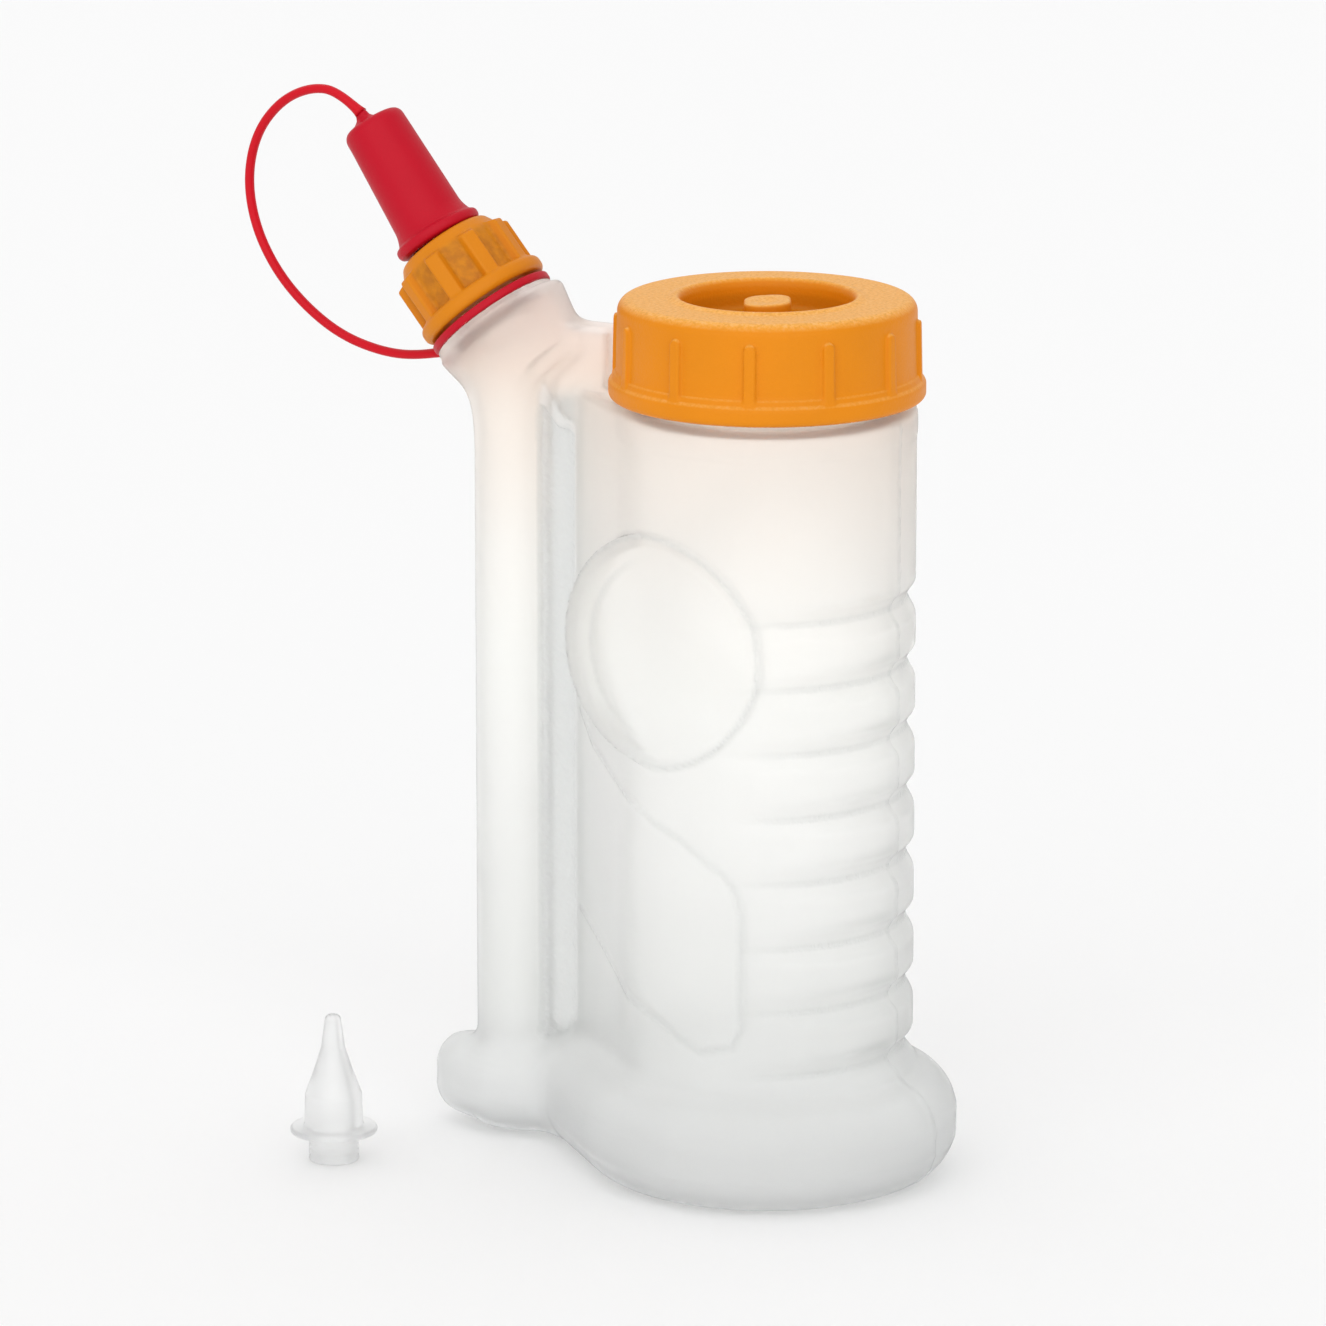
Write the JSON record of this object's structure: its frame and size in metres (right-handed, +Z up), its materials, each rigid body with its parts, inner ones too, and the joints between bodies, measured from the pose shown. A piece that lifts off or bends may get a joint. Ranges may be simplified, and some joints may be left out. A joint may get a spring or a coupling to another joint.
{
  "type": "squeeze bottle",
  "caption": "Translucent two-chamber squeeze bottle for wood glue: round chamber with screw lid, side tube, angled spout with nut and tethered tip cap, and a loose spare tip.",
  "frame": {"origin": "on the floor, on the axis of the round main chamber, in the middle of its foot", "axes": "+Z up along the chamber's axis; -X towards the side tube and the spout, +X towards the grip grooves; the XZ plane is the bottle's plane of symmetry"},
  "size_m": [0.1074, 0.0577, 0.1428],
  "materials": {
    "bottle": "satin translucent",
    "lid": "satin, fine grain on top",
    "nut": "satin",
    "red": "satin",
    "tip": "satin translucent",
    "gasket": "matte foam"
  },
  "bodies": {
    "bottle": {"bottle_body": "bottle"},
    "lid_seal": {"lid_gasket": "gasket"},
    "lid": {"screw_lid": "lid"},
    "nozzle": {"nozzle_tip": "tip"},
    "nut": {"spout_nut": "nut"},
    "tether": {"tether_ring": "red", "tether_strap": "red"},
    "cap": {"tip_cap": "red"},
    "spare": {"spare_tip": "tip"}
  },
  "joints": [
    {"name": "lid_lift", "type": "slide", "parent": "bottle", "child": "lid_seal", "axis": [0, 0, 1], "range_m": [0, 0.017]},
    {"name": "lid_turn", "type": "hinge", "parent": "lid_seal", "child": "lid", "pos_m": [0, 0, 0.12], "axis": [0, 0, 1], "range_deg": [0, 1440]},
    {"name": "nozzle_lift", "type": "slide", "parent": "bottle", "child": "nozzle", "axis": [-0.6428, 0, 0.766], "range_m": [0, 0.0096]},
    {"name": "nut_turn", "type": "hinge", "parent": "nozzle", "child": "nut", "pos_m": [-0.042, 0, 0.1132], "axis": [-0.6428, 0, 0.766], "range_deg": [0, 1080]},
    {"name": "tether_swivel", "type": "hinge", "parent": "nozzle", "child": "tether", "pos_m": [-0.042, 0, 0.1132], "axis": [-0.6428, 0, 0.766], "range_deg": [-170, 170]},
    {"name": "cap_pull", "type": "slide", "parent": "tether", "child": "cap", "axis": [-0.5821, 0, 0.8131], "range_m": [0, 0.018], "deforming": ["tether_strap"]},
    {"name": "spare_lift", "type": "slide", "parent": "bottle", "child": "spare", "axis": [0, 0, 1], "range_m": [0, 0.03]}
  ],
  "couplings": [
    {"joint": "lid_lift", "follows": "lid_turn", "m_per_rad": 0.00067322},
    {"joint": "nozzle_lift", "follows": "nut_turn", "m_per_rad": 0.00050532}
  ]
}
